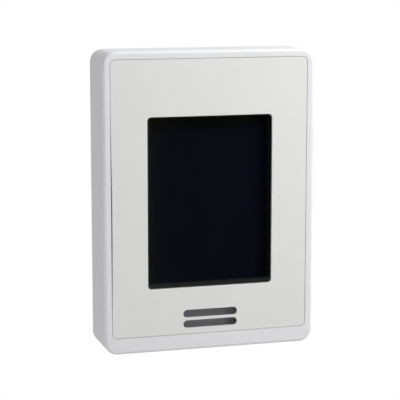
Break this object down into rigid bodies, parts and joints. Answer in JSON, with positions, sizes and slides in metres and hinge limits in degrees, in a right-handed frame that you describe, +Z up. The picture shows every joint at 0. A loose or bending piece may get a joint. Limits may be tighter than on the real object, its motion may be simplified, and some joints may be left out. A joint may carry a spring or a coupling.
{
  "type": "wall thermostat",
  "caption": "Wall-mounted room thermostat with a portrait touch display, air slots below it and a cover that swings open from a screwed base plate.",
  "frame": {"origin": "centre of the flat back face of the base plate, on the wall plane", "axes": "+Y into the wall, so the display faces -Y; +Z up, along the longest side; +X to the right seen from the front"},
  "size_m": [0.087, 0.023, 0.12],
  "materials": {
    "shell_white": "satin moulded plastic, white",
    "fascia_grey": "fine matte texture, warm light grey",
    "base_plastic": "matte moulded plastic, off-white",
    "cover_glass": "polished glass over a black display",
    "display_glass": "dark display glass, unlit",
    "touch_film": "dark conductive film",
    "foam_black": "closed-cell foam",
    "pressed_steel": "thin pressed sheet, tinned",
    "diffuser_white": "opal light guide",
    "circuit_green": "glass-fibre board with green solder mask",
    "flex_amber": "polyimide film",
    "baffle_grey": "matte dark grey plastic",
    "chip_black": "moulded epoxy",
    "terminal_green": "satin nylon, green",
    "nylon_natural": "natural nylon",
    "relay_cream": "satin moulded case",
    "screw_steel": "zinc-plated steel",
    "can_aluminium": "drawn can"
  },
  "bodies": {
    "base": {"base_plate": "base_plastic", "terminal_board": "circuit_green", "terminal_header": "terminal_green", "output_terminal": "terminal_green", "link_socket": "chip_black", "relay_1": "relay_cream", "relay_2": "relay_cream", "capacitor": "can_aluminium", "inductor": "chip_black", "bus_end_switch": "chip_black", "terminal_board_screw_1": "screw_steel", "terminal_board_screw_2": "screw_steel"},
    "cover": {"housing": "shell_white", "fascia": "fascia_grey", "display_lens": "cover_glass", "touch_sensor": "touch_film", "touch_flex": "flex_amber", "display_gasket": "foam_black", "lcd_tray": "pressed_steel", "lcd_cell": "display_glass", "backlight": "diffuser_white", "lcd_flex": "flex_amber", "main_board": "circuit_green", "lcd_connector": "nylon_natural", "touch_connector": "nylon_natural", "main_processor": "chip_black", "memory_chip": "chip_black", "radio_can": "pressed_steel", "beeper": "chip_black", "cell_holder": "nylon_natural", "coin_cell": "screw_steel", "climate_sensor": "can_aluminium", "sensor_baffle": "baffle_grey", "link_pins": "chip_black", "board_screw_1": "screw_steel", "board_screw_2": "screw_steel", "board_screw_3": "screw_steel", "board_screw_4": "screw_steel"},
    "plug": {"terminal_plug": "terminal_green"},
    "clamp_1": {"terminal_screw_1": "screw_steel"},
    "clamp_2": {"terminal_screw_2": "screw_steel"},
    "clamp_3": {"terminal_screw_3": "screw_steel"},
    "clamp_4": {"terminal_screw_4": "screw_steel"},
    "bus_end": {"bus_end_slider": "nylon_natural"},
    "lock": {"lock_screw": "screw_steel"}
  },
  "joints": [
    {"name": "cover_swing", "type": "hinge", "parent": "base", "child": "cover", "pos_m": [0, -0.0006, 0.0594], "axis": [-1, 0, 0], "range_deg": [0, 30]},
    {"name": "lock_travel", "type": "slide", "parent": "base", "child": "lock", "axis": [0, 0, -1], "range_m": [0, 0.0025]},
    {"name": "plug_pull", "type": "slide", "parent": "base", "child": "plug", "axis": [0, 0, 1], "range_m": [0, 0.007]},
    {"name": "clamp_turn_1", "type": "hinge", "parent": "plug", "child": "clamp_1", "pos_m": [-0.03241, -0.009, -0.0107], "axis": [0, 1, 0], "range_deg": [-1080, 0]},
    {"name": "clamp_turn_2", "type": "hinge", "parent": "plug", "child": "clamp_2", "pos_m": [-0.0286, -0.009, -0.0107], "axis": [0, 1, 0], "range_deg": [-1080, 0]},
    {"name": "clamp_turn_3", "type": "hinge", "parent": "plug", "child": "clamp_3", "pos_m": [-0.0248, -0.009, -0.0107], "axis": [0, 1, 0], "range_deg": [-1080, 0]},
    {"name": "clamp_turn_4", "type": "hinge", "parent": "plug", "child": "clamp_4", "pos_m": [-0.02099, -0.009, -0.0107], "axis": [0, 1, 0], "range_deg": [-1080, 0]},
    {"name": "bus_end_slide", "type": "slide", "parent": "base", "child": "bus_end", "axis": [0, 0, 1], "range_m": [0, 0.002]}
  ]
}
